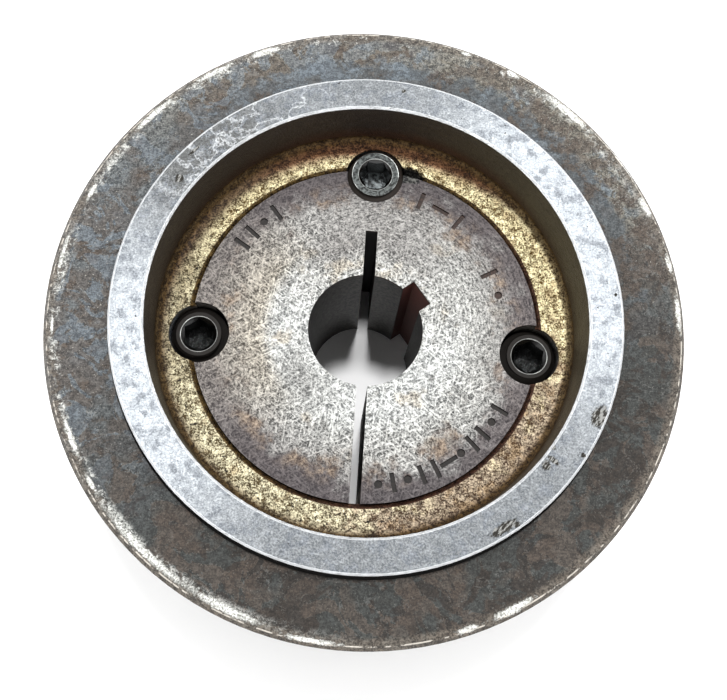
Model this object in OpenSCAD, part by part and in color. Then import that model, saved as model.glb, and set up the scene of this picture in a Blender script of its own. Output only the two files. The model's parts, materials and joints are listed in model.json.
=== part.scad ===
// V-belt pulley with two grooves, on a split taper bush that three socket set screws hold and release.
// Millimetres. The origin is the centre of the bore on the pulley's back face; +Z runs along the axis to
// the front, where the screws are reached. The saw cut through the bush lies along -Y.

/* [Rim and belt grooves] */
// Pitch diameter, where the belt's cords run
pitch_d = 63; // [62:0.2:90]
// Number of belt grooves
groove_count = 2; // [2:1:4]
// Distance from one groove to the next
groove_pitch = 12; // [11.4:0.1:15]
// Distance from a rim face to the middle of its nearest groove
groove_edge = 8; // [7:0.5:10]
// Angle between the two flanks of a groove
groove_angle = 34; // [30:1:38]
// Width of a groove at the pitch diameter
groove_w = 8.5; // [7:0.1:8.8]
// How far the rim stands above the pitch line
groove_above_pitch = 2; // [1:0.1:2.5]
// Depth of a groove from the rim
groove_depth = 10; // [8:0.5:10.5]
// Bevel on the sharp outer edges of the rim
rim_bevel = 0.45; // [0.1:0.05:0.8]

/* [Front collar and recess] */
// Width of the recess floor, from the bush's edge to the wall of the recess
hub_land = 3.85; // [2.8:0.05:4.5]
// Width of the machined collar around the recess
collar_w = 3.6; // [2:0.1:5]
// Height of the collar above the rim face
collar_h = 1.8; // [0.5:0.1:4]
// Bevel on the two edges of the collar
collar_bevel = 0.2; // [0.05:0.05:0.5]
// Radius between the wall and the floor of the recess
floor_fillet = 1.2; // [0.4:0.1:1.4]
// Width and depth of the small relief turned at the foot of the collar
collar_relief = 0.35; // [0.2:0.05:0.6]

/* [Taper bush] */
// Length of the bush, and of the hub that holds it
bush_len = 22.2; // [18:0.1:27]
// Diameter of the bush at its large end
bush_d = 38.1; // [31:0.05:39]
// Full angle of the taper
taper_angle = 8; // [4:0.5:10]
// Bore for the shaft
bore_d = 12.7; // [9:0.02:15.4]
// Width of the keyway
key_w = 3.175; // [2:0.005:5]
// Depth of the keyway beyond the bore
key_depth = 1.35; // [0.8:0.05:2]
// Direction of the keyway, turned from +X towards +Y
key_angle = 38; // [25:1:60]
// Width of the saw cut that splits the bush
split_w = 1.2; // [0.6:0.1:2]
// Width of the blind cut opposite the split
relief_w = 1.35; // [0.6:0.05:2]
// Length of the blind cut beyond the bore
relief_len = 5.3; // [3:0.1:5.5]
// Bevel on the mouth of the hub, around the bush
mouth_bevel = 0.5; // [0.1:0.05:0.7]
// Distance of the bush's small end from the pulley's back face
bush_inset = 0.1; // [0:0.05:0.5]
// Clearance between the bush and the hub, all round
taper_gap = 0.03; // [0.01:0.01:0.1]

/* [Set screws] */
// Outside diameter of the screw thread
screw_d = 6.35; // [5:0.01:7.7]
// Length of a screw
screw_len = 12.7; // [9:0.02:15.4]
// Distance between two turns of the thread
thread_pitch = 1.27; // [1:0.01:1.6]
// Bevel on the two ends of a screw
screw_bevel = 0.7; // [0.3:0.05:0.9]
// Depth of the thread that shows on a screw
thread_depth = 0.5; // [0.2:0.05:0.6]
// How far the screw axes lie inside the bush's edge at its large end
screw_axis_inset = 0.65; // [0:0.05:1]
// Angle from the split to each locking screw
lock_angle = 85; // [75:1:90]
// Width across the flats of the hexagon socket
socket_af = 3.175; // [2.5:0.005:3.3]
// Depth of the hexagon socket
socket_depth = 3.4; // [2:0.1:5]
// Bevel on the mouth of the hexagon socket
socket_bevel = 0.35; // [0.1:0.05:0.4]
// Diameter of the cup point at a screw's tip
cup_d = 3.2; // [1.5:0.1:3.4]
// How far the two locking screws lie below the bush face
lock_sink = 0.7; // [0:0.1:3]
// How far the removal screw stands above the bush face
removal_rise = 0.5; // [0:0.1:2]
// Clearance between a screw and the half of its hole that carries the thread
thread_gap = 0.05; // [0.02:0.01:0.1]
// Clearance between a screw and the plain half of its hole
plain_gap = 0.25; // [0.1:0.05:0.3]
// Distance between a screw's tip and the bottom of its hole
tip_gap = 0.05; // [0.02:0.01:0.2]
// Extra depth of the threaded half of a hole below the screw's tip
thread_runout = 2.5; // [1:0.1:4]

/* [Stamped marks] */
// Depth of the stamped marks in the bush face
mark_depth = 0.25; // [0.1:0.05:0.5]
// Length of a stamped bar
mark_len = 2.1; // [1:0.1:2.6]
// Width of a stamped bar
mark_w = 0.5; // [0.3:0.05:0.8]
// Diameter of a punched dot
dot_d = 0.9; // [0.5:0.05:1.2]
// Distance of the two longer rows of marks from the bush's edge
outer_row_inset = 2; // [1.6:0.1:2.6]
// Distance of the upper right row of marks from the bush's edge
middle_row_inset = 2.4; // [1.6:0.1:3]
// Distance of the innermost row of marks from the bush's edge
inner_row_inset = 3.6; // [3:0.1:5]

/* [Hidden] */
$fn = 96;
over = 1;                     // how far a cut runs past the face that it opens

rim_r = pitch_d / 2 + groove_above_pitch;
rim_w = 2 * groove_edge + (groove_count - 1) * groove_pitch;
half_flank = groove_angle / 2;
collar_top = rim_w + collar_h;
hub_face = bush_len;          // the recess floor, level with the bush's large end

half_taper = taper_angle / 2;
bush_r = bush_d / 2;
recess_r = bush_r + hub_land;
collar_r = recess_r + collar_w;
bush_small_r = bush_r - bush_len * tan(half_taper);
bush_face = bush_inset + bush_len;
bore_r = bore_d / 2;

screw_r = screw_d / 2;
screw_axis_r = bush_r - screw_axis_inset;
lock_top = bush_face - lock_sink;
removal_top = bush_face + removal_rise;
split_dir = -90;              // direction of the split, seen from the front
left_dir = split_dir - lock_angle;
right_dir = split_dir + lock_angle;
removal_dir = split_dir + 180;
thread_half_w = 0.4 * thread_pitch;   // half the width of a thread groove at the screw's outside
cup_bottom_d = cup_d / 8;     // flat at the bottom of the cup point
socket_turn = 30;             // a flat of the socket faces the bush's axis

// Moves a shape out to a screw's axis.
module at_screw(direction) {
    rotate([0, 0, direction]) translate([screw_axis_r, 0, 0]) children();
}

// A straight hole from height `bottom` up past height `top`.
module hole(r, bottom, top) {
    translate([0, 0, bottom]) cylinder(r = r, h = top + over - bottom);
}

// A ring that bevels the outer edge of a round face: `r` is the edge, `z` the face, `up` 1 or -1.
module outer_bevel(r, z, up, size) {
    rotate_extrude()
        polygon([[r - size, z + up * over], [r - size, z], [r, z - up * size],
                 [r + over, z - up * size], [r + over, z + up * over]]);
}

// A cone that bevels the mouth of a hole of radius `r` at the face `z`.
module mouth_cone(r, z, up, size) {
    translate([0, 0, up > 0 ? z - size : z - over])
        cylinder(r1 = up > 0 ? r : r + size + over, r2 = up > 0 ? r + size + over : r, h = size + over);
}

// ---- pulley body ------------------------------------------------------------------------------------

// One V groove around the rim, its middle at z = 0.
module belt_groove() {
    bottom_r = rim_r - groove_depth;
    function half_w(r) = groove_w / 2 + (r - pitch_d / 2) * tan(half_flank);
    rotate_extrude()
        polygon([[bottom_r, -half_w(bottom_r)], [rim_r + over, -half_w(rim_r + over)],
                 [rim_r + over, half_w(rim_r + over)], [bottom_r, half_w(bottom_r)]]);
}

// The recess in the front, down to the hub's face, with a round corner all round its floor.
module recess() {
    height = collar_top + over - hub_face;
    rotate_extrude() {
        translate([0, hub_face]) square([recess_r - floor_fillet, height]);
        translate([0, hub_face + floor_fillet]) square([recess_r, height - floor_fillet]);
        translate([recess_r - floor_fillet, hub_face + floor_fillet]) circle(r = floor_fillet);
    }
}

// The tapered bore that the bush sits in, wider than the bush by the taper gap.
module taper_seat() {
    slope = tan(half_taper);
    start_r = bush_small_r + taper_gap - (bush_inset + over) * slope;
    end_r = bush_r + taper_gap + (hub_face + over - bush_face) * slope;
    translate([0, 0, -over]) cylinder(r1 = start_r, r2 = end_r, h = hub_face + 2 * over);
}

// The small undercut where the collar rises from the rim face.
module collar_foot_relief() {
    translate([0, 0, rim_w - collar_relief])
        difference() {
            cylinder(r = collar_r + collar_relief, h = collar_relief + over);
            translate([0, 0, -over]) cylinder(r = collar_r, h = collar_relief + 3 * over);
        }
}

module pulley_body() {
    color("dimgray")
        difference() {
            union() {
                cylinder(r = rim_r, h = rim_w);
                cylinder(r = collar_r, h = collar_top);
            }
            for (i = [0 : groove_count - 1])
                translate([0, 0, groove_edge + i * groove_pitch]) belt_groove();
            outer_bevel(rim_r, rim_w, 1, rim_bevel);
            outer_bevel(rim_r, 0, -1, rim_bevel);
            outer_bevel(collar_r, collar_top, 1, collar_bevel);
            collar_foot_relief();
            recess();
            mouth_cone(recess_r, collar_top, 1, collar_bevel);
            taper_seat();
            mouth_cone(bush_r, hub_face, 1, mouth_bevel);
            mouth_cone(bush_small_r, 0, -1, mouth_bevel);
            for (direction = [left_dir, right_dir])
                at_screw(direction) hole(screw_r + thread_gap, lock_top - screw_len - thread_runout, hub_face);
            at_screw(removal_dir) hole(screw_r + plain_gap, removal_top - screw_len - tip_gap, hub_face);
        }
}

// ---- taper bush -------------------------------------------------------------------------------------

module keyway() {
    rotate([0, 0, key_angle])
        translate([0, -key_w / 2, bush_inset - over]) cube([bore_r + key_depth, key_w, bush_len + 2 * over]);
}

module saw_cuts() {
    translate([0, 0, bush_inset - over]) {
        translate([-split_w / 2, -bush_r - over, 0]) cube([split_w, bush_r + over, bush_len + 2 * over]);
        translate([-relief_w / 2, 0, 0]) cube([relief_w, bore_r + relief_len, bush_len + 2 * over]);
    }
}

// A stamped bar, lengthways along the radius or, turned, across it.
module stamped_bar(turn) {
    rotate([0, 0, turn]) translate([-mark_len / 2, -mark_w / 2, 0]) cube([mark_len, mark_w, mark_depth + over]);
}

// A punched dot.
module stamped_dot() {
    cylinder(d = dot_d, h = mark_depth + over);
}

// A row of plain marks on the arc of radius `r`: "|" is a radial bar, "-" a cross bar, "." a dot.
module stamped_row(r, first_angle, last_angle, pattern) {
    step = (last_angle - first_angle) / (len(pattern) - 1);
    for (i = [0 : len(pattern) - 1])
        rotate([0, 0, first_angle + i * step])
            translate([r, 0, bush_face - mark_depth]) {
                if (pattern[i] == "|") stamped_bar(0);
                if (pattern[i] == "-") stamped_bar(90);
                if (pattern[i] == ".") stamped_dot();
            }
}

module stamped_marks() {
    stamped_row(bush_r - outer_row_inset, first_angle = 148, last_angle = 130, pattern = "||.|");
    stamped_row(bush_r - middle_row_inset, first_angle = 71, last_angle = 54, pattern = "|-|");
    stamped_row(bush_r - inner_row_inset, first_angle = 29, last_angle = 19, pattern = "|.");
    stamped_row(bush_r - outer_row_inset, first_angle = -28, last_angle = -82, pattern = "|.||.-||.|.");
}

module taper_bush() {
    color("darkgray")
        difference() {
            translate([0, 0, bush_inset]) cylinder(r1 = bush_small_r, r2 = bush_r, h = bush_len);
            translate([0, 0, bush_inset - over]) cylinder(r = bore_r, h = bush_len + 2 * over);
            keyway();
            saw_cuts();
            for (direction = [left_dir, right_dir])
                at_screw(direction) hole(screw_r + plain_gap, lock_top - screw_len - tip_gap, bush_face);
            at_screw(removal_dir)
                hole(screw_r + thread_gap, removal_top - screw_len - thread_runout, bush_face);
            stamped_marks();
        }
}

// ---- set screws -------------------------------------------------------------------------------------

// One V-shaped thread groove around a screw, its middle at z = 0.
module thread_groove() {
    open_half_w = thread_half_w * (1 + over / thread_depth);
    rotate_extrude()
        polygon([[screw_r - thread_depth, 0], [screw_r + over, -open_half_w], [screw_r + over, open_half_w]]);
}

// A socket set screw along Z with its tip at z = 0, its axis at the origin.
module set_screw() {
    last_groove = floor((screw_len - 2 * screw_bevel) / thread_pitch) - 1;
    first_z = (screw_len - last_groove * thread_pitch) / 2;
    difference() {
        cylinder(r = screw_r, h = screw_len);
        outer_bevel(screw_r, screw_len, 1, screw_bevel);
        outer_bevel(screw_r, 0, -1, screw_bevel);
        for (i = [0 : last_groove])
            translate([0, 0, first_z + i * thread_pitch]) thread_groove();
        translate([0, 0, screw_len - socket_depth])
            rotate([0, 0, socket_turn]) cylinder(d = socket_af / cos(30), h = socket_depth + over, $fn = 6);
        mouth_cone(socket_af / 2, screw_len, 1, socket_bevel);
        translate([0, 0, -over])
            cylinder(d1 = cup_d + 2 * over, d2 = cup_bottom_d, h = over + (cup_d - cup_bottom_d) / 2);
    }
}

module locking_screw_left() {
    color([0.22, 0.21, 0.2]) at_screw(left_dir) translate([0, 0, lock_top - screw_len]) set_screw();
}

module locking_screw_right() {
    color([0.22, 0.21, 0.2]) at_screw(right_dir) translate([0, 0, lock_top - screw_len]) set_screw();
}

module removal_screw() {
    color([0.4, 0.4, 0.39]) at_screw(removal_dir) translate([0, 0, removal_top - screw_len]) set_screw();
}

pulley_body();
taper_bush();
locking_screw_left();
locking_screw_right();
removal_screw();
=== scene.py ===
"""Looks of a two-groove V-belt pulley on its split taper bush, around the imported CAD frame.

The scene is in metres. Inside the materials lengths are millimetres and angles are degrees from +X
towards +Y. The split of the bush lies along -Y, and the front faces +Z.
"""

import json
import math

import bmesh
import bpy
from mathutils import Matrix, Vector


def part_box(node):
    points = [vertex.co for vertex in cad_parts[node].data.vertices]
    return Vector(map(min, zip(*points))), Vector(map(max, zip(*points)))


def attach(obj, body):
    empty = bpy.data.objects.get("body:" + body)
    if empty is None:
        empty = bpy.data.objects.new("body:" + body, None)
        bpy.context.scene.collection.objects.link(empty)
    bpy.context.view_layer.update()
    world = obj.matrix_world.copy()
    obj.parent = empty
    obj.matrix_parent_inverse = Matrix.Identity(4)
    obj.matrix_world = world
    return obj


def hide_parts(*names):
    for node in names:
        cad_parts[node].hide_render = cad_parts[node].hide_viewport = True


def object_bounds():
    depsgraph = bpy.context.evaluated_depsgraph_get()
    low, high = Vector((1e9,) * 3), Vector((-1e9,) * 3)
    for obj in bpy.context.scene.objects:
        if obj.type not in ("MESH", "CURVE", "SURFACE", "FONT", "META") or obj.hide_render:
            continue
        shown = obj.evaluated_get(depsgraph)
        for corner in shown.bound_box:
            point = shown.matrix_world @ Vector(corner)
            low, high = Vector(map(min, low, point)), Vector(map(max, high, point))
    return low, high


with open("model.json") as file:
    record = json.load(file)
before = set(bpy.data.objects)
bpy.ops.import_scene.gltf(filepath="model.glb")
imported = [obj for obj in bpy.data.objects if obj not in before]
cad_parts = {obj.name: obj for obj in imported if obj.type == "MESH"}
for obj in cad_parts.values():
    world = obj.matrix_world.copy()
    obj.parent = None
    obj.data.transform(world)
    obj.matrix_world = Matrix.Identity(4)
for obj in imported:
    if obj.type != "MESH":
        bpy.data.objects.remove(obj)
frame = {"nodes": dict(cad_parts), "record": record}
cad_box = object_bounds()

MM = 0.001

# ---- sizes, in millimetres ---------------------------------------------------------------------------

COLLAR_HEIGHT = 1.8           # the collar above the rim face
COLLAR_WIDTH = 3.6
RECESS_LAND = 3.85            # recess floor, from the bush to the wall
FLOOR_FILLET = 1.2
BUSH_RISE = 0.1               # the bush's face above the recess floor
MOUTH_BEVEL = 0.5             # on the hub, around the bush
RIM_BEVEL = 0.45
GROOVE_DEPTH = 10
KEYWAY_ANGLE = 38

THREAD_PITCH = 1.27
THREAD_DEPTH = 0.6134 * THREAD_PITCH
SOCKET_FLATS = 3.175
SOCKET_DEPTH = 3.4
DRILL_POINT = 0.75            # the cone at the bottom of the socket
CUP_R = 1.6                   # the hollow in the screw's tip
CUP_DEPTH = CUP_R - 0.25
LOCK_BEVEL = 0.7              # on the ends of the locking screws
LOCK_MOUTH_R = 2.02           # the bevel around their sockets, where it meets the face
REMOVAL_BEVEL = 0.5
REMOVAL_MOUTH_R = 1.95

body_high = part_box("pulley_body")[1] / MM
bush_low, bush_high = (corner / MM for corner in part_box("taper_bush"))
screw_low, screw_high = (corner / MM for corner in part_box("removal_screw"))
rim_r = body_high.x
collar_top = body_high.z
rim_face = collar_top - COLLAR_HEIGHT
bush_r = -bush_low.y
bush_face = bush_high.z
hub_face = bush_face - BUSH_RISE
recess_r = bush_r + RECESS_LAND
collar_r = recess_r + COLLAR_WIDTH
groove_bottom_r = rim_r - GROOVE_DEPTH
bore_r = next(m["dims"]["r_mm"] for m in frame["record"]["mounts"] if m["name"] == "shaft_bore")
screw_r = (screw_high.x - screw_low.x) / 2
screw_length = screw_high.z - screw_low.z


# ---- shader nodes written as arithmetic --------------------------------------------------------------

class Field:
    """A value that varies over a surface: one output of a shader node."""

    def __init__(self, nodes, socket):
        self.nodes = nodes
        self.socket = socket

    def __add__(self, other):
        return self.nodes.math("ADD", self, other)

    def __sub__(self, other):
        return self.nodes.math("SUBTRACT", self, other)

    def __rsub__(self, other):
        return self.nodes.math("SUBTRACT", other, self)

    def __mul__(self, other):
        return self.nodes.math("MULTIPLY", self, other)

    def __truediv__(self, other):
        return self.nodes.math("DIVIDE", self, other)

    __radd__ = __add__
    __rmul__ = __mul__


class Nodes:
    """Builds one node tree; every method returns a Field."""

    def __init__(self, tree):
        self.tree = tree
        tree.nodes.clear()

    def add(self, kind, inputs, output=0, **settings):
        node = self.tree.nodes.new(kind)
        for name, value in settings.items():
            setattr(node, name, value)
        for key, value in inputs.items():
            self.plug(node.inputs[key], value)
        return Field(self, node.outputs[output]) if node.outputs else None

    def plug(self, socket, value):
        if isinstance(value, Field):
            self.tree.links.new(value.socket, socket)
        else:
            socket.default_value = value

    def math(self, operation, *values):
        return self.add("ShaderNodeMath", dict(enumerate(values)), operation=operation)

    def step(self, value, low, high):
        """0 below `low`, 1 above `high`, smooth between them; the other way round when low > high."""
        inputs = {"Value": value, "From Min": low, "From Max": high}
        return self.add("ShaderNodeMapRange", inputs, interpolation_type="SMOOTHSTEP")

    def scale(self, value, low, high):
        """Maps 0..1 to low..high."""
        return self.add("ShaderNodeMapRange", {"Value": value, "To Min": low, "To Max": high})

    def vector(self, x, y, z):
        return self.add("ShaderNodeCombineXYZ", {0: x, 1: y, 2: z})

    def mix(self, mask, first, second):
        """First colour where the mask is 0, second where it is 1."""
        return self.add("ShaderNodeMix", {0: mask, 6: first, 7: second}, output=2, data_type="RGBA")

    def blend(self, mask, first, second):
        """As mix, for numbers."""
        return self.add("ShaderNodeMix", {0: mask, 2: first, 3: second}, data_type="FLOAT")

    def noise(self, at, per_mm, detail=2.0, roughness=0.5, distortion=0.0):
        inputs = {"Vector": at, "Scale": per_mm, "Detail": detail, "Roughness": roughness,
                  "Distortion": distortion}
        return self.add("ShaderNodeTexNoise", inputs, output="Fac")


def srgb(red, green, blue):
    """A colour from its 0-255 screen values."""
    def linear(level):
        level /= 255
        return level / 12.92 if level <= 0.04045 else ((level + 0.055) / 1.055) ** 2.4
    return (linear(red), linear(green), linear(blue), 1.0)


class Surface(Nodes):
    """A material painted in layers. Its places are in millimetres in the object's own frame."""

    def __init__(self, name, colour, rough, metal):
        self.material = bpy.data.materials.new(name)
        self.material.use_nodes = True
        super().__init__(self.material.node_tree)
        place = self.add("ShaderNodeTexCoord", {}, output="Object")
        inputs = {0: place, 1: (1 / MM,) * 3}
        self.place = self.add("ShaderNodeVectorMath", inputs, operation="MULTIPLY")
        self.x = self.add("ShaderNodeSeparateXYZ", {0: self.place}, output=0)
        self.y = self.add("ShaderNodeSeparateXYZ", {0: self.place}, output=1)
        self.z = self.add("ShaderNodeSeparateXYZ", {0: self.place}, output=2)
        self.r = self.math("SQRT", self.x * self.x + self.y * self.y)
        self.colour = colour
        self.rough = rough
        self.metal = metal
        self.height = None

    def cover(self, mask, colour, rough, metal):
        """Paints a layer over the ones before it, where the mask is 1."""
        self.colour = self.mix(mask, self.colour, colour)
        self.rough = self.blend(mask, self.rough, rough)
        self.metal = self.blend(mask, self.metal, metal)

    def raise_by(self, height):
        """Adds to the bump, in millimetres."""
        self.height = height if self.height is None else self.height + height

    def inside(self, value, low, high, soft=0.05):
        return self.step(value, low - soft, low + soft) * self.step(value, high + soft, high - soft)

    def turned(self, stretch):
        """A place for noise that runs in rings around the axis; small stretches give long streaks."""
        inverse = self.math("DIVIDE", stretch, self.math("MAXIMUM", self.r, 1.0))
        return self.vector(self.x * inverse, self.y * inverse, self.r + self.z)

    def speckle(self, coarse=0.4, low=0.42, high=0.58):
        """Salt and pepper a few tenths of a millimetre across, 0 to 1; softer with low and high apart."""
        fine = self.noise(self.place, 5.0, 3, 0.65)
        grain = self.noise(self.place, 1.5, 5, 0.75)
        return self.step(fine * (1 - coarse) + grain * coarse, low, high)

    def scratches(self, angle, per_mm=4.5, length=5):
        """Short fine scratches that run in the direction of the angle, 0 to 1."""
        turn = math.radians(angle)
        along = self.x * math.cos(turn) + self.y * math.sin(turn)
        across = self.y * math.cos(turn) - self.x * math.sin(turn)
        return self.noise(self.vector(along * (1 / length), across, self.z), per_mm, 2, 0.6)

    def towards(self, angle):
        """1 in the direction of the angle, -1 opposite to it."""
        turn = math.radians(angle)
        along = self.x * math.cos(turn) + self.y * math.sin(turn)
        return along / self.math("MAXIMUM", self.r, 1.0)

    def spot(self, angle, radius, along, across, ragged=None, soft=0.35):
        """A mark `along` millimetres long around the axis and `across` wide, with a ragged edge."""
        turn = math.radians(angle)
        side = (self.y * math.cos(turn) - self.x * math.sin(turn)) * (2 / along)
        out = (self.r - radius) * (2 / across)
        distance = self.math("SQRT", side * side + out * out)
        if ragged is not None:
            distance = distance + ragged
        facing = self.step(self.towards(angle), 0.0, 0.2)
        return self.step(distance, 1 + soft, 1 - soft) * facing

    def spots(self, marks, ragged=None, soft=0.35):
        """The union of several spots, each (angle, radius, along, across)."""
        whole = None
        for mark in marks:
            one = self.spot(*mark, ragged=ragged, soft=soft)
            whole = one if whole is None else self.math("MAXIMUM", whole, one)
        return whole

    def finish(self):
        inputs = {"Base Color": self.colour, "Roughness": self.rough, "Metallic": self.metal}
        if self.height is not None:
            inputs["Normal"] = self.add("ShaderNodeBump", {"Height": self.height, "Distance": MM})
        shader = self.add("ShaderNodeBsdfPrincipled", inputs)
        self.add("ShaderNodeOutputMaterial", {"Surface": shader})
        return self.material


# ---- pulley body -------------------------------------------------------------------------------------

# Bare spots where the scale has come off the rim's edge: angle, radius, length, width.
RIM_CHIPS = [
    (114, 32.7, 3.6, 0.75), (125, 32.7, 4.4, 0.6), (139.5, 32.6, 5.6, 0.6), (159, 32.4, 2.2, 0.5),
    (172, 32.6, 4.2, 0.4), (-174, 32.5, 2.0, 0.35), (-153, 32.4, 4.2, 0.6), (-143.5, 32.5, 2.2, 0.45),
    (-128.5, 32.5, 10.5, 0.75), (-111.5, 32.5, 6.8, 0.8), (-96, 32.9, 5.2, 0.5), (-69.5, 32.9, 2.2, 0.6),
    (-61, 32.8, 4.4, 0.75), (50.5, 32.7, 6.4, 0.95), (63.7, 32.8, 1.7, 0.7), (73.5, 32.9, 1.2, 0.5),
    (26, 32.8, 2.4, 0.85), (14, 32.9, 1.9, 0.6), (4.5, 32.9, 3.8, 0.6), (36, 33.2, 5.0, 0.3),
]
# Scratched and dented places on the collar: angle, radius, length, width.
COLLAR_DENTS = [
    (-21.8, 25.7, 2.3, 1.5), (-36.4, 23.9, 0.5, 1.3), (-38.5, 23.7, 0.9, 0.9), (-33.9, 23.2, 0.5, 0.5),
    (-31.3, 26.0, 0.45, 0.5), (-55.6, 25.6, 2.9, 0.9), (-52.8, 26.0, 0.6, 0.6), (148, 24.5, 0.9, 0.9),
    (140, 25.5, 1.6, 0.35), (84.6, 25.3, 0.5, 0.4), (7.7, 25.8, 0.35, 0.35),
]


def paint_tar(s, where, angle, radius, along, across):
    """A lumpy black spot, of the sizes that Surface.spot takes. Returns its mask."""
    grain = s.noise(s.place, 2.7, 4, 0.7)
    lump = where * s.spot(angle, radius, along, across, ragged=grain * 1.6 - 0.8, soft=0.15)
    s.cover(lump, s.mix(s.step(grain, 0.45, 0.6), srgb(3, 3, 3), srgb(52, 52, 49)), 0.35, 0.8)
    return lump


def paint_scale(s):
    """Blue-grey scale, worn to brown in soft patches, on everything that was never machined bright."""
    lit = s.speckle(0.55, 0.4, 0.6)
    cloud = s.noise(s.place, 0.38, 6, 0.7)
    broad = s.noise(s.place, 0.16, 3, 0.5)
    north = s.step(s.towards(75), 0.2, 0.8)
    inner = s.step(s.r + (cloud - 0.5) * 6, 30.3, 28.9)

    s.colour = s.mix(lit, srgb(48, 51, 53), srgb(104, 108, 109))
    s.rough = s.scale(lit, 0.75, 0.55)
    s.metal = 0.45
    smooth = s.mix(lit, srgb(54, 57, 59), srgb(82, 87, 90))
    s.cover(inner * north * 0.85, smooth, 0.62, 0.45)
    olive = s.mix(lit, srgb(42, 39, 33), srgb(128, 122, 109))
    s.cover(north * (1 - inner) * 0.8, olive, 0.62, 0.45)

    brown = s.mix(lit, srgb(42, 36, 32), srgb(86, 77, 69))
    rust = s.step(cloud + s.towards(-30) * 0.03, 0.53, 0.58)
    s.cover(rust * 0.9, brown, 0.75, 0.25)
    blue = s.step(broad, 0.48, 0.6) * s.step(cloud, 0.5, 0.46)
    s.cover(blue * 0.6, s.mix(lit, srgb(60, 67, 73), srgb(120, 131, 139)), 0.55, 0.5)
    grime = s.step(s.towards(-70), -0.3, 0.6)
    flakes = s.step(s.noise(s.place, 0.3, 6, 0.62, 0.8), 0.475, 0.505)
    under = s.mix(lit, srgb(24, 20, 16), srgb(46, 39, 33))
    scale = s.mix(lit, srgb(28, 29, 27), srgb(58, 60, 58))
    s.cover(grime * 0.95, s.mix(flakes, under, scale), 0.7, 0.3)

    plates = s.noise(s.place, 0.26, 5, 0.6, 1.2)
    edge = s.inside(plates, 0.5, 0.515, 0.012) * (1 - grime * 0.6) * (1 - inner * north * 0.8)
    s.cover(edge * s.step(lit, 0.3, 0.8) * 0.6, srgb(150, 151, 148), 0.55, 0.6)
    stripped = s.step(plates, 0.51, 0.5) * s.step(broad, 0.4, 0.5) * (1 - inner * north * 0.7)
    s.cover(stripped * 0.6, s.mix(lit, srgb(48, 41, 36), srgb(86, 75, 66)), 0.7, 0.3)
    steel = s.step(plates, 0.505, 0.52) * s.step(s.towards(150), 0.1, 0.8)
    s.cover(steel * 0.6, s.mix(lit, srgb(62, 67, 73), srgb(104, 112, 119)), 0.55, 0.5)
    s.raise_by(s.step(plates, 0.5, 0.515) * 0.05)

    pits = s.step(s.noise(s.place, 2.4, 3, 0.7), 0.35, 0.3)
    s.cover(pits * 0.8, srgb(24, 22, 20), 0.75, 0.2)
    specks = s.step(s.noise(s.place, 4.0, 4, 0.8), 0.6, 0.68)
    s.cover(specks * (1 - grime * 0.7) * (1 - inner * north * 0.7) * 0.75, srgb(200, 197, 188), 0.5, 0.7)
    s.raise_by(cloud * 0.4)
    s.raise_by(lit * 0.03)


def paint_rim_edge(s):
    """The rim's worn outer edge, with its bare chips."""
    face = s.step(s.z, rim_face - 0.3, rim_face - 0.2)
    fine = s.speckle(0.5)
    ragged = s.noise(s.place, 1.5, 5, 0.75) * 3.4 - 1.7
    border = s.step(s.r, rim_r - 1.5, rim_r - 0.85) * s.step(s.z, rim_face - 0.6, rim_face - 0.5)
    s.cover(border * 0.7, s.mix(fine, srgb(48, 42, 36), srgb(112, 104, 94)), 0.65, 0.35)
    chips = s.spots(RIM_CHIPS, ragged, 0.25) * face
    bare = s.mix(fine, srgb(140, 140, 134), srgb(238, 238, 234))
    s.cover(chips, bare, 0.4, 0.9)
    s.raise_by(chips * -0.06)
    flakes = s.noise(s.place, 1.2, 6, 0.8) + (s.noise(s.place, 0.12, 2, 0.5) - 0.5) * 0.5
    left = s.step(s.towards(-35), 0.7, -0.1)
    flaked = s.inside(s.r, rim_r - 1.7, rim_r - 0.75, 0.3) * s.step(flakes, 0.5, 0.57) * face * left
    s.cover(flaked * 0.7, s.mix(fine, srgb(96, 97, 94), srgb(218, 219, 214)), 0.5, 0.8)
    worn = s.step(s.noise(s.place, 1.1, 4, 0.6), 0.46, 0.56)
    lip = s.inside(s.r, rim_r - RIM_BEVEL - 0.08, rim_r - RIM_BEVEL + 0.06, 0.03)
    s.cover(lip * worn * face * 0.8, srgb(196, 190, 180), 0.4, 0.8)


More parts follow.
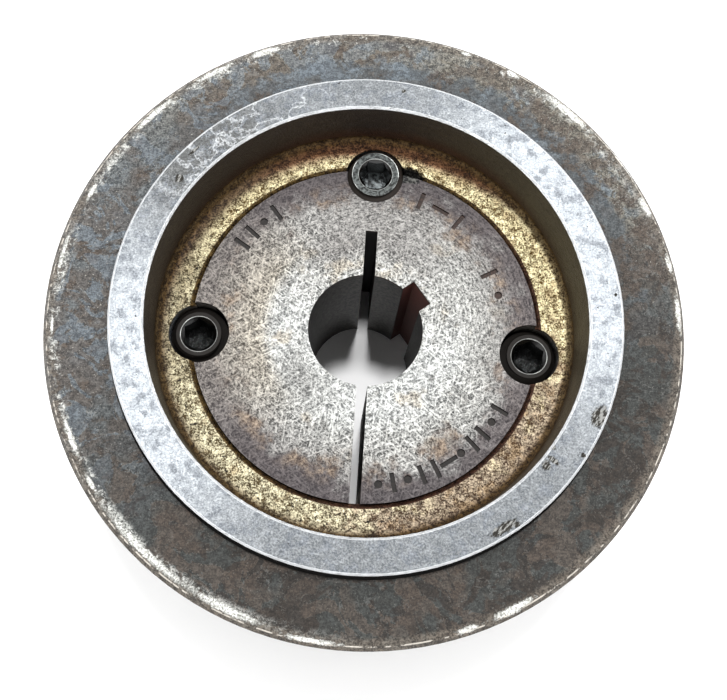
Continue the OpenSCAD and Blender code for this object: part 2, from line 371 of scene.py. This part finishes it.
def paint_collar(s):
    """The collar, machined bright, stained at the upper left and dented in a few places; darker at the upper
    left and lower right as painted shade, with painted shade in the groove at its root.
    """
    top = s.step(s.z, collar_top - 0.28, collar_top - 0.22)
    rings = s.noise(s.turned(6), 3.0, 3, 0.6)
    grain = s.speckle(0.4, 0.34, 0.66)
    cloud = s.noise(s.place, 0.6, 6, 0.75)
    bright = s.mix(grain, srgb(152, 157, 163), srgb(212, 217, 221))
    s.cover(top, bright, 0.58, 1.0)
    # Partly stains and partly painted shade: the collar is darker at the upper left and lower right, where
    # its turned face reflects less light.
    stain_and_shade = s.math("MAXIMUM", s.step(s.towards(118), 0.35, 0.9), s.step(s.towards(-72), 0.3, 0.9))
    s.cover(top * stain_and_shade * 0.85, s.mix(grain, srgb(76, 79, 81), srgb(144, 147, 149)), 0.62, 1.0)
    shadows = s.step(cloud, 0.48, 0.6)
    s.cover(top * shadows * 0.7, s.mix(grain, srgb(86, 91, 97), srgb(146, 151, 158)), 0.62, 1.0)
    stained = s.spot(137, 24.7, 15, 9, soft=0.5)
    islands = s.step(s.noise(s.place, 0.9, 5, 0.75, 0.5), 0.44, 0.5)
    s.cover(stained * islands * top * 0.75, s.mix(grain, srgb(60, 60, 58), srgb(108, 108, 106)), 0.6, 0.9)
    ridge = s.math("ABSOLUTE", s.noise(s.place, 0.34, 4, 0.6, 0.3) - 0.5)
    veins = s.step(ridge, 0.035, 0.0) * s.spot(130, 24.7, 22, 9, soft=0.5)
    s.cover(veins * top * 0.55, s.mix(grain, srgb(160, 163, 166), srgb(232, 235, 237)), 0.5, 1.0)
    pinholes = s.step(s.noise(s.place, 2.2, 2, 0.5), 0.27, 0.23)
    s.cover(pinholes * top, srgb(40, 38, 36), 0.6, 0.5)
    ragged = s.noise(s.place, 3.5, 3, 0.7) * 1.6 - 0.8
    dents = s.spots(COLLAR_DENTS, ragged, 0.2) * top
    gouges = s.step(s.scratches(55, 4.0, 3), 0.46, 0.58)
    s.cover(dents, s.mix(gouges, srgb(46, 44, 40), srgb(142, 142, 139)), 0.55, 0.8)
    edges = s.math("MAXIMUM", s.inside(s.r, collar_r - 0.24, collar_r + 0.1, 0.03),
                   s.inside(s.r, recess_r - 0.1, recess_r + 0.24, 0.03))
    s.cover(edges * top * s.scale(cloud, 0.3, 1.0), srgb(232, 234, 236), 0.4, 1.0)
    s.raise_by((rings * 0.012 + grain * 0.01 - dents * (0.1 - gouges * 0.06)) * top)
    side = s.inside(s.r, collar_r - 0.2, collar_r + 0.2) * s.inside(s.z, rim_face, collar_top - 0.25, 0.03)
    s.cover(side, s.mix(grain, srgb(80, 76, 72), srgb(160, 160, 160)), 0.5, 0.9)
    # Painted shade: the relief groove at the root of the collar is painted near black.
    relief_shade = s.inside(s.z, rim_face - 0.5, rim_face - 0.05, 0.03)
    s.cover(relief_shade * s.inside(s.r, collar_r - 0.1, collar_r + 0.45), srgb(28, 26, 25), 0.7, 0.1)


def paint_recess_wall(s):
    """Dark, as oil and as painted shade in the recess; olive at the right, burnt brown low down at the back.
    """
    wall = s.step(s.r, recess_r + 0.25, recess_r + 0.2) * s.inside(
        s.z, hub_face + 0.2, collar_top - 0.25, 0.05)
    smear = s.noise(s.vector(s.x, s.y, s.z * 4), 0.6, 4, 0.6)
    right = s.step(s.towards(15), 0.2, 0.95)
    # Painted shade, partly oil: the wall is painted near black-brown.
    oily_and_shaded = s.mix(smear, srgb(24, 19, 16), srgb(50, 41, 33))
    olive = s.mix(smear, srgb(40, 35, 26), srgb(66, 59, 44))
    s.cover(wall, s.mix(right, oily_and_shaded, olive), 0.45, 0.35)

    low = s.step(s.z, hub_face + 4.0, hub_face + 0.6)
    tarnish = s.mix(s.step(s.towards(85), -0.3, 0.9), srgb(46, 37, 24), srgb(58, 31, 16))
    s.cover(wall * low * 0.85, s.mix(smear, tarnish, srgb(30, 22, 14)), 0.5, 0.5)

    burnt = s.step(s.towards(78), 0.7, 1.0) * s.step(smear, 0.35, 0.6)
    band = s.inside(s.z, hub_face + 1.2, hub_face + 2.2, 1.4)
    s.cover(wall * band * burnt * 0.6, s.mix(smear, srgb(52, 28, 15), srgb(88, 52, 26)), 0.5, 0.5)


def paint_recess_floor(s):
    """Brass-coloured and pitted; towards the wall, widest at the back, a painted shade in rust colours, and
    oil with painted shade in the corner.
    """
    within = s.step(s.r, recess_r + 0.25, recess_r + 0.2)
    level = s.step(s.z, hub_face + 1.1, hub_face + 0.25) * s.step(s.z, hub_face - 0.3, hub_face - 0.2)
    floor = within * level
    lit = s.speckle(0.5)
    grain = s.noise(s.place, 2.7, 4, 0.7)
    broad = s.noise(s.place, 0.45, 4, 0.65)

    gold = s.mix(lit, srgb(82, 62, 28), srgb(255, 243, 198))
    pale = s.mix(lit, srgb(70, 60, 40), srgb(222, 215, 186))
    gold = s.mix(s.step(s.towards(-140), 0.1, 0.8) * 0.8, gold, pale)
    purple = s.mix(lit, srgb(58, 44, 41), srgb(172, 153, 138))
    where = s.step(s.towards(-48) + (broad - 0.5) * 1.2, 0.55, 0.95)
    s.cover(floor, s.mix(where * 0.8, gold, purple), 0.48, 0.9)
    tan = s.step(broad, 0.5, 0.64)
    s.cover(floor * tan * 0.45, s.mix(lit, srgb(70, 48, 20), srgb(150, 116, 66)), 0.5, 0.8)
    sooty = s.step(s.towards(177), 0.86, 0.98) * s.step(broad, 0.36, 0.5)
    s.cover(floor * sooty * 0.75, s.mix(lit, srgb(42, 34, 20), srgb(168, 156, 126)), 0.55, 0.8)
    pits = s.step(s.noise(s.place, 1.9, 3, 0.5), 0.37, 0.3) * s.step(s.towards(-150), -0.5, 0.5)
    s.cover(floor * pits, srgb(34, 26, 18), 0.6, 0.3)
    s.raise_by(floor * (grain * 0.08 - pits * 0.1))

    # Painted shadow: the floor darkens towards the wall, widest at the back where the wall shades it, in rust
    # colours that are redder at the back.
    back = s.step(s.towards(105), 0.2, 0.9)
    right = s.step(s.towards(15), 0.6, 1.0)
    start = recess_r - 1.0 - back * 1.2 + right * 0.8 + (broad - 0.5) * 1.6
    shade = floor * s.step(s.r - start, -0.6, 1.0)
    shaded_dark_rust = s.mix(lit, srgb(34, 21, 12), srgb(84, 56, 32))
    shaded_red_rust = s.mix(lit, srgb(48, 23, 11), srgb(128, 72, 36))
    s.cover(shade * 0.92, s.mix(s.step(s.towards(85), 0.6, 0.95), shaded_dark_rust, shaded_red_rust), 0.55, 0.5)
    # Painted shade, partly oil: the foot of the floor and the fillet in the corner are darkened.
    shaded_foot = floor * s.step(s.r, recess_r - 1.4 + right * 0.5, recess_r - 0.1)
    fillet = s.inside(s.z, hub_face + 0.05, hub_face + FLOOR_FILLET, 0.15)
    corner = within * fillet * s.step(s.r, recess_r - 0.9, recess_r - 0.4)
    oil_and_shade = s.mix(lit, srgb(34, 24, 14), srgb(84, 64, 34))
    s.cover(s.math("MAXIMUM", shaded_foot * 0.7, corner) * 0.85, oil_and_shade, 0.5, 0.85)


def paint_hub_mouth(s):
    """The bevel around the bush, and the hub's side of the tar beside the removal screw."""
    mouth = s.step(s.r, bush_r + MOUTH_BEVEL + 0.1, bush_r + MOUTH_BEVEL) * s.inside(
        s.z, hub_face - MOUTH_BEVEL - 0.1, hub_face + 0.1, 0.03)
    lit = s.speckle(0.5)
    brassy = s.mix(lit, srgb(40, 29, 15), srgb(108, 86, 48))
    ruddy = s.mix(lit, srgb(40, 26, 20), srgb(84, 56, 42))
    s.cover(mouth, s.mix(s.step(s.towards(-35), -0.2, 0.6), brassy, ruddy), 0.5, 0.7)
    within = s.step(s.r, recess_r + 0.25, recess_r + 0.2)
    lump = paint_tar(s, within, 78.5, 19.2, 3.6, 1.9)
    s.raise_by(lump * (s.noise(s.place, 2.7, 4, 0.7) * 0.8))


def paint_seat(s):
    """The tapered bore and the back of the hub."""
    seat = s.step(s.r, bush_r + 1.9, bush_r + 1.8) * s.step(s.z, hub_face - 0.45, hub_face - 0.6)
    rings = s.noise(s.turned(3), 2.4, 3, 0.6)
    s.cover(seat, s.mix(rings, srgb(92, 86, 80), srgb(158, 152, 144)), s.scale(rings, 0.3, 0.5), 0.9)
    s.raise_by(seat * rings * 0.02)


def paint_grooves(s):
    """Flanks polished by the belts, with dust and rust at the bottom of each groove."""
    flank = s.inside(s.r, groove_bottom_r + 0.3, rim_r - 0.25, 0.15) * s.inside(s.z, 0.5, rim_face - 0.5, 0.1)
    rings = s.noise(s.turned(2), 3.5, 3, 0.6)
    polish = s.mix(rings, srgb(128, 124, 118), srgb(196, 194, 190))
    contact = s.inside(s.r, groove_bottom_r + 2.5, rim_r - 0.8, 0.9)
    s.cover(flank * contact * 0.9, polish, s.scale(rings, 0.22, 0.4), 1.0)
    bottom = s.step(s.r, groove_bottom_r + 0.9, groove_bottom_r + 0.2) * s.step(
        s.r, groove_bottom_r - 0.6, groove_bottom_r - 0.4) * s.inside(s.z, 0.5, rim_face - 0.5, 0.1)
    dust = s.noise(s.place, 1.4, 4, 0.65)
    rust = s.mix(dust, srgb(52, 38, 30), srgb(96, 66, 46))
    s.cover(bottom, s.mix(s.step(dust, 0.4, 0.6), rust, srgb(72, 68, 62)), 0.8, 0.1)
    s.raise_by(flank * rings * 0.01)


def paint_back(s):
    """The back face, turned flat and browned."""
    back = s.step(s.z, 0.12, 0.04)
    rings = s.noise(s.turned(4), 2.2, 4, 0.65)
    cloud = s.noise(s.place, 0.25, 4, 0.6)
    iron = s.mix(rings, srgb(96, 92, 88), srgb(164, 160, 154))
    brown = s.mix(rings, srgb(82, 66, 54), srgb(128, 106, 86))
    s.cover(back, s.mix(s.step(cloud, 0.42, 0.6), iron, brown), s.scale(rings, 0.35, 0.55), 0.75)
    s.raise_by(back * rings * 0.03)


def pulley_iron():
    s = Surface("pulley_iron_weathered", srgb(90, 80, 72), 0.6, 0.3)
    paint_scale(s)
    paint_grooves(s)
    paint_rim_edge(s)
    paint_back(s)
    paint_seat(s)
    paint_recess_wall(s)
    paint_recess_floor(s)
    paint_hub_mouth(s)
    paint_collar(s)
    return s.finish()


# ---- taper bush --------------------------------------------------------------------------------------

# Dull places on the bush's face: angle, radius, length, width.
BUSH_SMUDGES = [(112, 10.2, 4.2, 3.0), (-138, 9.2, 7, 4)]


def paint_bush_face(s):
    """Silvery and scratched around the bore, violet-brown near the edge. Returns its speckle."""
    grain = s.noise(s.place, 2.7, 4, 0.7)
    rings = s.noise(s.turned(3.2), 5.0, 3, 0.7, 0.3)
    hatch = s.math("MAXIMUM", s.scratches(28), s.math("MAXIMUM", s.scratches(84), s.scratches(140)))
    cloud = s.noise(s.place, 0.5, 4, 0.65)
    broad = s.noise(s.place, 0.22, 3, 0.6)
    face = s.step(s.z, bush_face - 0.04, bush_face - 0.01)

    wiped = s.step(s.towards(50), 0.2, 0.8) * s.step(s.r, 9.0, 11.5)
    fine = s.blend(wiped * 0.7, s.step(hatch, 0.5, 0.68), s.step(rings, 0.42, 0.6))
    lit = s.speckle(0.25) * 0.5 + fine * 0.5
    s.cover(face, s.mix(lit, srgb(60, 61, 60), srgb(214, 214, 210)), 0.66, 0.9)
    polished = s.step(s.r, 13.0, 9.0) * s.step(s.towards(-100), -0.6, 0.2)
    s.cover(face * polished * 0.5, s.mix(lit, srgb(110, 112, 112), srgb(236, 238, 236)), 0.64, 0.9)
    gold = s.step(s.towards(178), 0.5, 0.95) * s.step(s.r, 10, 12)
    tint = s.math("MAXIMUM", gold, s.step(broad, 0.55, 0.68))
    s.cover(face * tint * 0.45, s.mix(lit, srgb(68, 56, 42), srgb(198, 182, 152)), 0.66, 0.9)
    smudge = s.math("MAXIMUM", s.step(cloud, 0.55, 0.68), s.spots(BUSH_SMUDGES, soft=0.8))
    s.cover(face * smudge * 0.5, s.mix(lit, srgb(54, 52, 50), srgb(142, 140, 136)), 0.68, 0.8)

    back = s.step(s.towards(88), 0.5, 1.0) * s.step(s.r, 7, 10)
    dim = s.math("MAXIMUM", s.step(s.r, 10.5, 16.5), back) * (1 - s.step(s.towards(-50), 0.7, 1.0) * 0.7)
    s.cover(face * dim * 0.6, s.mix(lit, srgb(56, 53, 53), srgb(150, 146, 143)), 0.68, 0.85)
    outer = s.step(s.r + (broad - 0.5) * 8 + (cloud - 0.5) * 8, bush_r - 4.8, bush_r - 1.2)
    upright = s.math("ABSOLUTE", s.towards(90))
    violet = s.mix(lit, srgb(50, 46, 48), s.mix(upright, srgb(118, 111, 110), srgb(88, 82, 83)))
    left = s.step(s.towards(180), 0.6, 1.0)
    s.cover(face * outer * (0.93 - left * 0.4), violet, 0.62, 0.85)
    patches = s.step(cloud, 0.44, 0.66) * s.step(broad, 0.42, 0.6)
    copper = patches * s.inside(s.r, bush_r - 5, bush_r - 2, 1.2)
    s.cover(face * copper * 0.6, s.mix(lit, srgb(74, 58, 48), srgb(176, 158, 136)), 0.62, 0.9)
    s.raise_by(face * (fine * 0.02 + grain * 0.05) * (1 - outer * 0.6))
    paint_tar(s, face, 79, 18.9, 3.2, 1.5)
    return lit


def paint_stamped_marks(s, lit):
    """Sooty, browner at the upper right."""
    stamped = s.step(s.z, bush_face - 0.05, bush_face - 0.12) * s.step(
        s.z, bush_face - 0.5, bush_face - 0.4)
    soot = s.mix(lit, srgb(10, 8, 7), srgb(36, 30, 26))
    brown = s.mix(lit, srgb(24, 16, 12), srgb(64, 46, 38))
    s.cover(stamped, s.mix(s.step(s.towards(45), 0.5, 0.8), soot, brown), 0.65, 0.3)


def paint_bush_below(s):
    """The taper, turned and stained; the dark bore; the cuts painted dark as shade; the rusty keyway."""
    below = s.step(s.z, bush_face - 0.3, bush_face - 0.5)
    grain = s.noise(s.place, 2.7, 4, 0.7)
    rings = s.noise(s.turned(3), 2.4, 3, 0.6)
    stains = s.step(s.noise(s.place, 0.2, 4, 0.6), 0.46, 0.6)
    steel = s.mix(rings, srgb(104, 100, 95), srgb(168, 164, 158))
    fretted = s.mix(rings, srgb(78, 62, 50), srgb(128, 108, 90))
    s.cover(below, s.mix(stains * 0.7, steel, fretted), s.scale(rings, 0.35, 0.55), 0.85)

    bore = below * s.step(s.r, bore_r + 0.12, bore_r + 0.06)
    s.cover(bore, s.mix(s.step(grain, 0.35, 0.65), srgb(26, 26, 26), srgb(80, 78, 75)), 0.5, 0.7)
    # Painted shade: the walls of the split, the screw holes and the keyway are painted dark.
    shaded_cuts = below * s.inside(s.r, bore_r + 0.1, bush_r - 2.2, 0.03)
    s.cover(shaded_cuts, srgb(26, 24, 22), 0.6, 0.3)
    key = s.towards(KEYWAY_ANGLE) * s.r
    keyway = shaded_cuts * s.step(key, bore_r * 0.8, bore_r * 0.85) * s.step(s.r, bore_r + 1.8, bore_r + 1.6)
    s.cover(keyway, s.mix(grain, srgb(52, 26, 22), srgb(100, 54, 44)), 0.7, 0.1)


def bush_iron():
    s = Surface("bush_iron_worn", srgb(120, 114, 108), 0.5, 0.8)
    lit = paint_bush_face(s)
    paint_stamped_marks(s, lit)
    paint_bush_below(s)
    return s.finish()


# ---- set screws --------------------------------------------------------------------------------------

def hexagon_radius(turn):
    """Distance from a hexagon's middle to its outline; a corner lies at turn 0."""
    from_flat = turn % (math.pi / 3) - math.pi / 6
    return SOCKET_FLATS / 2 / math.cos(from_flat)


def thread_r(phase):
    """Radius of the thread at a phase of 0 to 1 along one pitch: crest, flank, root, flank."""
    crest_end, root_start, root_end = 0.125, 0.4375, 0.6875
    flank = root_start - crest_end
    down = min(max((phase - crest_end) / flank, 0), 1)
    up = max((phase - root_end) / flank, 0)
    return screw_r - THREAD_DEPTH * (down - up)


def screw_mesh(name, mouth_r, bevel):
    """A socket set screw with a right-hand helical thread and a cup point, its tip at z = 0."""
    columns = 72
    phases = (0, 0.0625, 0.125, 0.23, 0.335, 0.4375, 0.5625, 0.6875, 0.79, 0.895)
    face_r = screw_r - bevel

    def ring(mesh, height, reach):
        """A closed row of points; height and reach are numbers, or functions of the angle."""
        made = []
        for i in range(columns):
            turn = 2 * math.pi * i / columns
            r = reach(turn) if callable(reach) else reach
            z = height(turn) if callable(height) else height
            made.append(mesh.verts.new((r * math.cos(turn), r * math.sin(turn), z)))
        return made

    def skin(mesh, lower, upper):
        for i in range(columns):
            j = (i + 1) % columns
            mesh.faces.new((lower[i], lower[j], upper[j], upper[i]))

    mesh = bmesh.new()
    rows = []
    for turn_number in range(-1, math.ceil(screw_length / THREAD_PITCH) + 1):
        for phase in phases:
            def height(turn, start=turn_number + phase):
                climb = (start + turn / (2 * math.pi)) * THREAD_PITCH
                return min(max(climb, 0), screw_length)

            def reach(turn, thread=thread_r(phase), height=height):
                from_end = min(height(turn), screw_length - height(turn))
                run_out = face_r - 2 * max(0, from_end - bevel)
                return min(max(thread, run_out), face_r + from_end)
            rows.append(ring(mesh, height, reach))
    for lower, upper in zip(rows, rows[1:]):
        for i in range(columns - 1):
            mesh.faces.new((lower[i], lower[i + 1], upper[i + 1], upper[i]))
    for row in range(len(rows) - 1 - len(phases)):
        above = row + len(phases)
        mesh.faces.new((rows[row][-1], rows[above][0], rows[above + 1][0], rows[row + 1][-1]))

    def socket_edge(turn):
        return screw_length - (mouth_r - hexagon_radius(turn))

    socket_floor = screw_length - SOCKET_DEPTH
    drill_r = SOCKET_FLATS / 2 - 0.12
    top = [ring(mesh, screw_length, face_r),
           ring(mesh, screw_length, mouth_r),
           ring(mesh, socket_edge, hexagon_radius),
           ring(mesh, socket_floor, hexagon_radius),
           ring(mesh, socket_floor - 0.05, drill_r),
           ring(mesh, socket_floor - DRILL_POINT, 0.12)]
    for lower, upper in zip(top, top[1:]):
        skin(mesh, lower, upper)
    mesh.faces.new(top[-1])
    tip = [ring(mesh, CUP_DEPTH, 0.2), ring(mesh, 0.0, CUP_R), ring(mesh, 0.0, face_r)]
    for lower, upper in zip(tip, tip[1:]):
        skin(mesh, lower, upper)
    mesh.faces.new(list(reversed(tip[0])))

    bmesh.ops.remove_doubles(mesh, verts=mesh.verts, dist=1e-4)
    bmesh.ops.recalc_face_normals(mesh, faces=mesh.faces)
    bmesh.ops.scale(mesh, vec=(MM, MM, MM), verts=mesh.verts)
    data = bpy.data.meshes.new(name)
    mesh.to_mesh(data)
    mesh.free()
    data.polygons.foreach_set("use_smooth", [True] * len(data.polygons))
    data.set_sharp_from_angle(angle=math.radians(32))
    return data


def screw_steel(name, mouth_r, bevel, wear, grime):
    """Black oxide, worn on the face and edges by `wear`, with `grime` in the socket."""
    s = Surface(name, srgb(20, 18, 17), 0.5, 0.6)
    top = screw_length
    socket_floor = top - SOCKET_DEPTH
    grain = s.noise(s.place, 3.0, 5, 0.7)
    oxide = s.mix(grain, srgb(8, 7, 6), srgb(30, 25, 20))
    rubbed = s.mix(grain, srgb(20, 17, 15), srgb(54, 46, 40))
    s.colour = s.mix(wear, oxide, rubbed)
    s.rough = s.scale(grain, 0.5, 0.7)

    face = s.step(s.z, top - 0.06, top - 0.02)
    grey = s.mix(s.step(grain, 0.4, 0.6), srgb(26, 28, 28), srgb(84, 88, 87))
    s.cover(face * wear, grey, 0.5, 0.9)
    face_r = screw_r - bevel
    patchy = s.step(s.noise(s.place, 0.5), 0.42, 0.58)
    outer_edge = s.inside(s.r, face_r - 0.07, face_r + 0.03, 0.02) * patchy * wear
    inner_edge = s.inside(s.r, mouth_r - 0.04, mouth_r + 0.02, 0.015) * s.scale(patchy, 0.5, 1.0)
    edge = s.math("MAXIMUM", outer_edge, inner_edge) * s.step(s.z, top - 0.2, top - 0.1)
    s.cover(edge * s.scale(wear, 0.9, 0.6), srgb(206, 208, 205), 0.4, 1.0)

    socket = s.step(s.r, mouth_r - 0.06, mouth_r - 0.1) * s.step(s.z, top - 0.05, top - 0.12)
    # Painted shade: the inside of the socket is painted near black, darker than the oxide.
    s.cover(socket * s.step(s.z, socket_floor - 2, socket_floor - 1), srgb(4, 4, 4), 0.15, 0.0)
    deep = socket * s.inside(s.z, socket_floor - 1, socket_floor + 0.5, 0.2)
    lumps = s.noise(s.place, 2.2, 3, 0.6)
    dirt = s.mix(s.step(lumps, 0.4, 0.65), srgb(70, 72, 72), srgb(190, 198, 200))
    s.cover(deep * grime, dirt, 0.3, 0.4)
    s.raise_by(grain * 0.03)
    s.raise_by(deep * lumps * 0.5)
    return s.finish()


def build_screw(node, body, mouth_r, bevel, material):
    """One threaded screw in the place of its CAD node, a flat of its socket facing the bush's axis."""
    low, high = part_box(node)
    data = screw_mesh(node + "_threaded", mouth_r, bevel)
    data.materials.append(material)
    piece = bpy.data.objects.new(node + "_threaded", data)
    bpy.context.scene.collection.objects.link(piece)
    middle = (low + high) / 2
    across = math.atan2(middle.y, middle.x) + math.pi / 2
    piece.matrix_world = Matrix.Translation((middle.x, middle.y, low.z)) @ Matrix.Rotation(across, 4, "Z")
    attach(piece, body)
    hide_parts(node)


def dress(node, material):
    """Gives a CAD node its material."""
    slots = frame["nodes"][node].data.materials
    slots.clear()
    slots.append(material)


dress("pulley_body", pulley_iron())
dress("taper_bush", bush_iron())
black = screw_steel("screw_steel_oily", LOCK_MOUTH_R, LOCK_BEVEL, wear=0.0, grime=0.05)
rubbed = screw_steel("screw_steel_rubbed", REMOVAL_MOUTH_R, REMOVAL_BEVEL, wear=0.9, grime=0.9)
build_screw("locking_screw_left", "left_lock", LOCK_MOUTH_R, LOCK_BEVEL, black)
build_screw("locking_screw_right", "right_lock", LOCK_MOUTH_R, LOCK_BEVEL, black)
build_screw("removal_screw", "removal", REMOVAL_MOUTH_R, REMOVAL_BEVEL, rubbed)


# ---- stage -------------------------------------------------------------------------------------------

def pale_floor():
    """A wide, nearly white floor under the pulley's back face."""
    half_width = 2.0
    gap = 0.00005
    mesh = bmesh.new()
    bmesh.ops.create_grid(mesh, x_segments=1, y_segments=1, size=half_width)
    data = bpy.data.meshes.new("floor")
    mesh.to_mesh(data)
    mesh.free()
    s = Surface("floor_white", srgb(252, 252, 252), 0.9, 0.0)
    data.materials.append(s.finish())
    floor = bpy.data.objects.new("floor", data)
    bpy.context.scene.collection.objects.link(floor)
    floor.location.z = cad_box[0][2] - gap


def soft_box(name, place, size, power):
    """A square area light at `place`, aimed at the middle of the pulley."""
    data = bpy.data.lights.new(name, "AREA")
    data.size = size
    data.energy = power
    light = bpy.data.objects.new(name, data)
    bpy.context.scene.collection.objects.link(light)
    light.location = place
    aim = Vector((0, 0, collar_top * MM)) - Vector(place)
    light.rotation_euler = aim.to_track_quat("-Z", "Y").to_euler()
    light.visible_camera = False


def studio_sky():
    """White surroundings, dimmer overhead on the near side, where the camera is held."""
    world = bpy.data.worlds.new("studio")
    bpy.context.scene.world = world
    world.use_nodes = True
    n = Nodes(world.node_tree)
    direction = n.add("ShaderNodeTexCoord", {}, output="Generated")
    back = n.add("ShaderNodeSeparateXYZ", {0: direction}, output=1)
    up = n.add("ShaderNodeSeparateXYZ", {0: direction}, output=2)
    side = n.math("ABSOLUTE", n.add("ShaderNodeSeparateXYZ", {0: direction}, output=0))
    ceiling = n.step(back, 0.0, 0.26) * 0.45 + n.step(side, 0.08, 0.3) * 0.5 + 0.15
    sides = 2.0
    edge, full = (math.cos(math.radians(from_above)) for from_above in (48, 34))
    strength = n.blend(n.step(up, edge, full), sides, ceiling)
    background = n.add("ShaderNodeBackground", {"Color": (1, 1, 1, 1), "Strength": strength})
    n.add("ShaderNodeOutputWorld", {"Surface": background})


def camera():
    """Held above the near edge of the rim, looking down on the front."""
    data = bpy.data.cameras.new("camera")
    data.sensor_fit = "HORIZONTAL"
    data.sensor_width = 36.0
    data.lens = 45.11
    data.clip_start = 0.004
    eye = bpy.data.objects.new("camera", data)
    bpy.context.scene.collection.objects.link(eye)
    eye.location = Vector((-1.95, -27.24, 119.12)) * MM
    eye.rotation_euler = (math.radians(14.32), math.radians(-2.01), math.radians(3.53))
    bpy.context.scene.camera = eye


pale_floor()
studio_sky()
soft_box("key", (0.005, 0.10, 0.42), 0.045, 1.55)
camera()
bpy.context.scene.view_settings.view_transform = "Standard"
